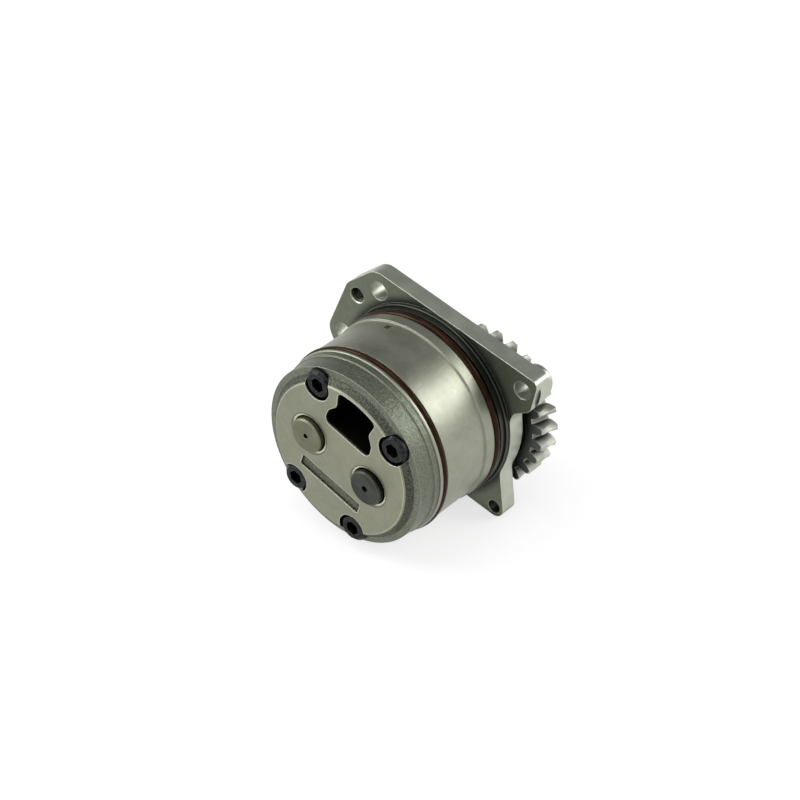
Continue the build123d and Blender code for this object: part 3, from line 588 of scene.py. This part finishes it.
oil = use(tree, film, Size=15 * MM)
ground = mix(tree, oil["Mask"], *GROUND)
ground = mix(tree, times(tree, use(tree, film, Size=MOTTLE_SIZE)["Mask"], MOTTLED), ground, GROUND_MOTTLE)
off_step = 1.0
for centre in (DRIVE_AXIS, IDLER_AXIS):
    from_shaft = use(tree, from_axis, Centre_X=centre[0], Centre_Z=centre[1])["Radius"]
    by_lip = below(tree, from_shaft, STEP_RADIUS + LIP_WIDTH)
    off_step = times(tree, off_step, flip(tree, by_lip))
    # a painted shadow along each step's lip, and a painted highlight on the step itself
    ground = mix(tree, times(tree, by_lip, SHADOWED), ground, LIP_SHADOW)
    ground = mix(tree, below(tree, from_shaft, STEP_RADIUS), ground, STEP_HIGHLIGHT)
ground = mix(tree, times(tree, use(tree, film, Size=STAIN_SIZE)["Mask"], STAINED), ground, STAIN)
ground = mix(tree, times(tree, use(tree, scuffs)["Lines"], SCRATCHED), ground, FACE_SCRATCH)
print("cover face:", len(tree.nodes), "nodes")

# %% [markdown]
# ## The cover: cast skin, edges and oil
# The slope's skin is painted dark as shade, and the rim's paler, as if lit. A thin painted highlight runs
# where the ground face meets the port, the pockets and the slope. The steps round the shafts have their
# own edges, so it is left off there.

# %% Cover colours
RIM_LIT_SKIN = ((0.095, 0.108, 0.08), (0.195, 0.21, 0.16))
SLOPE_SHADED_SKIN = ((0.022, 0.025, 0.018), (0.122, 0.129, 0.099))
RECESS_SKIN = ((0.06, 0.064, 0.046), (0.16, 0.167, 0.125))
COVER_EDGE_WEAR_AND_HIGHLIGHT = (0.46, 0.47, 0.40)
LIP_HIGHLIGHT = (0.66, 0.67, 0.58)
PORT_SHADE = (0.004, 0.004, 0.003)
POCKET_SHADE = (0.003, 0.003, 0.002)
LIP_DEPTH = 0.3 * MM
EDGE_WEAR_AND_HIGHLIGHT_SHARE = 0.6     # how far an edge takes its worn colour with a painted highlight
PORT_SHADED = 0.95   # how far the port's walls are painted in shade

skin = use(tree, cast_skin, Grain=0.6 * MM)
corner = use(tree, edges, Radius=0.4 * MM)
face_corner = use(tree, edges, Radius=0.7 * MM)
rim_lit_skin, slope_shaded_skin, recess_skin = (
    mix(tree, skin["Speckle"], *tones) for tones in (RIM_LIT_SKIN, SLOPE_SHADED_SKIN, RECESS_SKIN))
# the slope is painted in shade and the rim lighter, as lit
cast = mix(tree, which_way["Slope"], rim_lit_skin, slope_shaded_skin)
cast = mix(tree, shallow, cast, recess_skin)
# a painted highlight along the ground face's edges
lip_highlight = times(tree, times(tree, face_corner["Edge"], below(tree, depth, LIP_DEPTH)), off_step)
colour = mix(tree, as_cast, ground, cast)
# the cover's edges: partly worn metal, partly a painted highlight
colour = mix(tree, times(tree, corner["Edge"], EDGE_WEAR_AND_HIGHLIGHT_SHARE), colour, COVER_EDGE_WEAR_AND_HIGHLIGHT)
colour = mix(tree, lip_highlight, colour, LIP_HIGHLIGHT)
# painted shade down the port and in the screw pockets
colour = mix(tree, times(tree, in_port, PORT_SHADED), colour, PORT_SHADE)
colour = mix(tree, open_to_light, POCKET_SHADE, colour)
print("cover colours:", len(tree.nodes), "nodes")

# %% [markdown]
# ## The cover: gloss and relief
# A bump stands for the relief of the cast skin, about a quarter of a millimetre, and for the ground
# face's faint rings. Both go into one height, and the mask keeps the skin's share off the ground face.

# %% Cover shader
GROUND_HEIGHT = 0.02   # the rings' height beside the cast skin's
SKIN_DEPTH = 0.24 * MM
COVER_ROUGHNESS = (0.44, 0.54)  # off the slope, and on it

marks = use(tree, tool_marks, Pitch=0.5 * MM)
height = maths(tree, "ADD", times(tree, marks["Lines"], GROUND_HEIGHT), times(tree, skin["Height"], as_cast))
tree.links.new(colour, shader.inputs["Base Color"])
tree.links.new(vary(tree, which_way["Slope"], *COVER_ROUGHNESS), shader.inputs["Roughness"])
tree.links.new(bump(tree, height, SKIN_DEPTH, Normal=corner["Normal"]), shader.inputs["Normal"])
shader.inputs["Metallic"].default_value = 0.9
print("cover finish:", len(tree.nodes), "nodes")

# %% [markdown]
# ## Shafts, gears and small steel
# Ground steel differs mostly in tone. The drive shaft's end is darker than the idler's, the gear's teeth
# are bright with its forward faces painted dark as shade, and the keys, pins and washers are plain. The
# shafts' and the gear's marks turn about their own axes.

# %% Steels
MOUTH_BLACK = 0.3 * MM  # the black painted as shade in the drive shaft's centre hole reaches this far past the hole's edge

shaft_metal = worked_metal("drive_shaft_ground", (0.035, 0.038, 0.032), (0.068, 0.072, 0.06), (0.32, 0.46),
                           centre=DRIVE_AXIS, pitch=0.4 * MM, blotch=8 * MM, edge_light=3.5,
                           drilled=DRILLED + MOUTH_BLACK)
idler_metal = worked_metal("idler_shaft_ground", (0.135, 0.138, 0.088), (0.20, 0.20, 0.14), (0.36, 0.48),
                           centre=IDLER_AXIS, pitch=0.4 * MM, blotch=8 * MM, edge_light=2.0,
                           drilled=DRILLED)
# face is the painted shade of the gear's forward faces, under the flange
gear_metal = worked_metal("gear_ground", (0.36, 0.37, 0.32), (0.5, 0.51, 0.45), (0.46, 0.58),
                          centre=DRIVE_AXIS, pitch=0.4 * MM, blotch=10 * MM, edge_light=1.6,
                          face=(0.12, 0.135, 0.115), reach=12 * MM)
rotor_metal = worked_metal("rotor_ground", (0.18, 0.19, 0.17), (0.3, 0.31, 0.28), (0.3, 0.42),
                           reach=18 * MM)
pin_metal = worked_metal("pin_ground", (0.4, 0.4, 0.39), (0.55, 0.55, 0.53), (0.25, 0.35))
bronze = worked_metal("bush_bored", (0.42, 0.30, 0.14), (0.58, 0.43, 0.22), (0.3, 0.42))
black_steel = worked_metal("black_oxide", (0.004, 0.005, 0.005), (0.040, 0.043, 0.043), (0.30, 0.5),
                           blotch=1.6 * MM, edge_light=3.0, edge_radius=0.3 * MM, reach=4 * MM)
print("metals:", [metal.name for metal in bpy.data.materials])

# %% [markdown]
# ## Rubber rings
# The O-rings are a brown fluorocarbon rubber, wet with oil. Rubber isn't a metal, so its shine is a weak
# reflection over a dull dark body. The oil is amber, so the reflection is tinted.

# %% Rubber
RUBBER = ((0.007, 0.0035, 0.0022), (0.020, 0.009, 0.005))
AMBER = (1.0, 0.62, 0.34, 1)
RUBBER_GRAIN_DEPTH = 0.015 * MM
RUBBER_ROUGHNESS = (0.16, 0.26)

ring_rubber, tree, shader = blank("ring_rubber_oiled")
oil = use(tree, film, Size=6 * MM)
skin = use(tree, cast_skin, Grain=0.4 * MM)
tree.links.new(mix(tree, oil["Mask"], *RUBBER), shader.inputs["Base Color"])
tree.links.new(vary(tree, skin["Speckle"], *RUBBER_ROUGHNESS), shader.inputs["Roughness"])
tree.links.new(bump(tree, skin["Height"], RUBBER_GRAIN_DEPTH), shader.inputs["Normal"])
shader.inputs["Specular IOR Level"].default_value = 0.16
shader.inputs["Specular Tint"].default_value = AMBER
print("rubber:", len(tree.nodes), "nodes")

# %% [markdown]
# ## Dressing the pieces
# Each solid keeps its mesh, and only its material changes. The list goes by piece, with the inner pieces
# too, so that the pump can be taken apart and still be finished all through.

# %% Dress
finishes = {
    "pump_body": body_metal,
    "front_cover": cover_metal,
    "cover_screws": black_steel,
    "front_o_ring": ring_rubber,
    "rear_o_ring": ring_rubber,
    "dowel_pins": pin_metal,
    "drive_bush_front": bronze,
    "drive_bush_rear": bronze,
    "idler_bush_front": bronze,
    "idler_bush_rear": bronze,
    "gear_thrust_washer": bronze,
    "drive_shaft": shaft_metal,
    "idler_shaft": idler_metal,
    "drive_rotor": rotor_metal,
    "idler_rotor": rotor_metal,
    "drive_rotor_key": pin_metal,
    "idler_rotor_key": pin_metal,
    "drive_gear": gear_metal,
    "drive_gear_key": pin_metal,
    "gear_washer": pin_metal,
    "gear_nut": black_steel,
}
for node_name, finish in finishes.items():
    for material_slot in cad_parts[node_name].material_slots:
        material_slot.material = finish
print("dressed", len(finishes), "pieces")

# %% [markdown]
# ## The shape of a thread
# One hole in the flange is tapped, for a screw that pushes the pump out of its bore, and the drive shaft's
# end stands out of its nut. A bump can't break an outline, so both threads are real: a ridge swept along a
# helix, inside the plain hole or round the plain shaft. It fades in and out over half a turn.

# %% Thread helper
STEPS = 36            # sections in one turn
FADE = STEPS / 2      # sections over which a ridge grows to its full height
LEAST = 0.05          # the share of its height that the ridge starts and ends with
FOOT_HALF = 0.46      # half the ridge's width at its foot, as a share of the pitch
CREST_HALF = 0.06     # and at its crest


def stand(name, data):
    """A new object in the scene."""
    piece = bpy.data.objects.new(name, data)
    bpy.context.collection.objects.link(piece)
    return piece


def thread(name, centre, foot, crest, start, end, pitch):
    """A helical ridge from one place along Y to another; foot and crest are radii, all in millimetres."""
    mesh_maker = bmesh.new()
    count = int((end - start) / pitch * STEPS)
    sections = []
    for step in range(count + 1):
        angle = 2 * math.pi * step / STEPS
        middle = start + pitch * step / STEPS
        grown = min(1.0, step / FADE, (count - step) / FADE)
        top = foot + (crest - foot) * max(grown, LEAST)
        ring = []
        for radius, shift in ((foot, -FOOT_HALF), (top, -CREST_HALF), (top, CREST_HALF), (foot, FOOT_HALF)):
            ring.append(mesh_maker.verts.new((centre[0] + radius * MM * math.cos(angle),
                                              (middle + shift * pitch) * MM,
                                              centre[1] + radius * MM * math.sin(angle))))
        sections.append(ring)
    for one, two in zip(sections, sections[1:]):
        for k in range(4):
            mesh_maker.faces.new((one[k], one[(k + 1) % 4], two[(k + 1) % 4], two[k]))
    mesh_maker.faces.new(sections[0])
    mesh_maker.faces.new(sections[-1][::-1])
    bmesh.ops.recalc_face_normals(mesh_maker, faces=mesh_maker.faces)
    mesh = bpy.data.meshes.new(name)
    mesh_maker.to_mesh(mesh)
    mesh_maker.free()
    return stand(name, mesh)


print("a thread has", STEPS, "sections in a turn")

# %% [markdown]
# ## The two threads
# The jacking thread stays with the housing. The shaft's thread turns with the drive, and shows only
# behind the nut, so it starts where the nut ends.

# %% Threads
jacking_thread = thread("jacking_thread", TAPPED, foot=3.42, crest=2.9,
                        start=0.75, end=7.4, pitch=1.25)
# the thread's dark tone is painted shade down the hole, and its bright edges a painted highlight
thread_in_shade = worked_metal("thread_in_shade", (0.025, 0.029, 0.022), (0.055, 0.06, 0.047), (0.3, 0.42),
                          edge_light=5.0, edge_radius=0.12 * MM, reach=2 * MM)
jacking_thread.data.materials.append(thread_in_shade)
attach(jacking_thread, "housing")

NUT_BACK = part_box("gear_nut")[1][1] / MM
shaft_thread = thread("shaft_thread", DRIVE_AXIS, foot=6.97, crest=7.4,
                      start=NUT_BACK + 0.1, end=NUT_BACK + 1.35, pitch=0.75)
shaft_thread.data.materials.append(shaft_metal)
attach(shaft_thread, "drive")
print("threads:", [(piece.name, len(piece.data.polygons)) for piece in (jacking_thread, shaft_thread)])

# %% [markdown]
# ## Camera
# A long lens keeps the round cover from looking stretched. It stands about 40 degrees round from the
# cover's side and 37 degrees up, so the cover's face is open and the flange and gear show behind it.

# %% Camera
camera_data = bpy.data.cameras.new("camera")
camera_data.sensor_fit = "HORIZONTAL"
camera_data.sensor_width = 36.0
camera_data.lens = 92.36
camera_data.clip_start = 0.01
camera = stand("camera", camera_data)
camera.location = (0.4472, -0.5417, 0.5215)
looking = Vector((-0.5208, 0.6099, -0.5973))
camera.rotation_euler = looking.to_track_quat("-Z", "Y").to_euler()
bpy.context.scene.camera = camera
print("camera", round(camera.location.length, 3), "m from the origin")

# %% [markdown]
# ## Floor
# The floor is a plain pale sheet. Seen directly, or in the metal, it is mostly its own white, and the
# rest takes the lamps, so a soft shadow stays. It lies a hair under the pump's lowest point.

# %% Floor
FLOOR_REACH = 3.0
FLOOR_GAP = 0.2 * MM
WHITE = (1, 1, 1, 1)
PALE = (0.9, 0.9, 0.9, 1)
GLOW_SHARE = 0.72     # how much of the floor's look is its own white


def blend(tree, share, first, second):
    """Shader first where the share is 0 and shader second where it is 1."""
    return put(tree, "ShaderNodeMixShader", i0=share, i1=first, i2=second).outputs[0]


floor_z = cad_box[0][2] - FLOOR_GAP
corners = [(x * FLOOR_REACH, y * FLOOR_REACH, floor_z) for x, y in ((-1, -1), (1, -1), (1, 1), (-1, 1))]
floor_mesh = bpy.data.meshes.new("floor")
floor_mesh.from_pydata(corners, [], [(0, 1, 2, 3)])
floor = stand("floor", floor_mesh)
floor_material = bpy.data.materials.new("floor_pale")
tree = emptied(floor_material)
rays = put(tree, "ShaderNodeLightPath").outputs
seen = maths(tree, "MAXIMUM", rays["Is Camera Ray"], rays["Is Glossy Ray"])
seen = maths(tree, "MAXIMUM", seen, rays["Is Transmission Ray"])
matte = put(tree, "ShaderNodeBsdfDiffuse", Color=PALE).outputs[0]
glow = put(tree, "ShaderNodeEmission", Color=WHITE, Strength=1.0).outputs[0]
put(tree, "ShaderNodeOutputMaterial", i0=blend(tree, times(tree, seen, GLOW_SHARE), matte, glow))
floor_mesh.materials.append(floor_material)
print("floor at", round(floor_z / MM, 2), "mm")

# %% [markdown]
# ## World
# The world is white to the eye and a soft grey to the surfaces that it lights. In reflections it darkens
# overhead, as a studio's ceiling does, which gives the barrel its dark crown.

# %% World
CEILING_START, CEILING_FULL = 0.05, 0.45  # heights on a sphere of radius 1 between which it darkens
CEILING_PALE, CEILING_DARK = 0.95, 0.19
AROUND = 0.55

world = bpy.data.worlds.new("studio")
bpy.context.scene.world = world
tree = emptied(world)
rays = put(tree, "ShaderNodeLightPath").outputs
direction = put(tree, "ShaderNodeTexCoord").outputs["Generated"]
upward = put(tree, "ShaderNodeSeparateXYZ", i0=direction).outputs[2]
ceiling = ramp(tree, upward, CEILING_START, CEILING_FULL, CEILING_PALE, CEILING_DARK)
around, mirrored, white = (put(tree, "ShaderNodeBackground", Color=WHITE, Strength=strength).outputs[0]
                           for strength in (AROUND, ceiling, 1.0))
lit = blend(tree, rays["Is Glossy Ray"], around, mirrored)
to_the_eye = maths(tree, "MAXIMUM", rays["Is Camera Ray"], rays["Is Transmission Ray"])
put(tree, "ShaderNodeOutputWorld", i0=blend(tree, to_the_eye, lit, white))
print("world has", len(tree.nodes), "nodes")

# %% [markdown]
# ## Lamps
# Four soft lamps, all aimed at the pump: one behind and to the right, which draws the long highlight down
# the barrel, a broad fill overhead, one from the left for the cover's slope, and a weak one in front.

# %% Lamps


def softbox(name, place, size, watts):
    """Square area lamp aimed at the origin."""
    data = bpy.data.lights.new(name, "AREA")
    data.size = size
    data.energy = watts
    lamp = stand(name, data)
    lamp.location = place
    lamp.rotation_euler = (-Vector(place)).to_track_quat("-Z", "Y").to_euler()
    return lamp


lamps = [
    softbox("back_right", (0.75, 0.75, 0.62), 0.6, 8),
    softbox("overhead", (-0.2, -0.3, 1.3), 0.9, 8),
    softbox("front_left", (-0.75, -0.5, 0.55), 0.55, 6.5),
    softbox("front", (0.1, -1.2, 0.5), 0.6, 4),
]
print("lamps:", [(lamp.name, lamp.data.energy) for lamp in lamps])

# %% [markdown]
# ## Colour
# The view stays Standard, so a colour looks as it was written. The pump's box was measured once, when it
# was loaded.

# %% Finish
bpy.context.scene.view_settings.view_transform = "Standard"
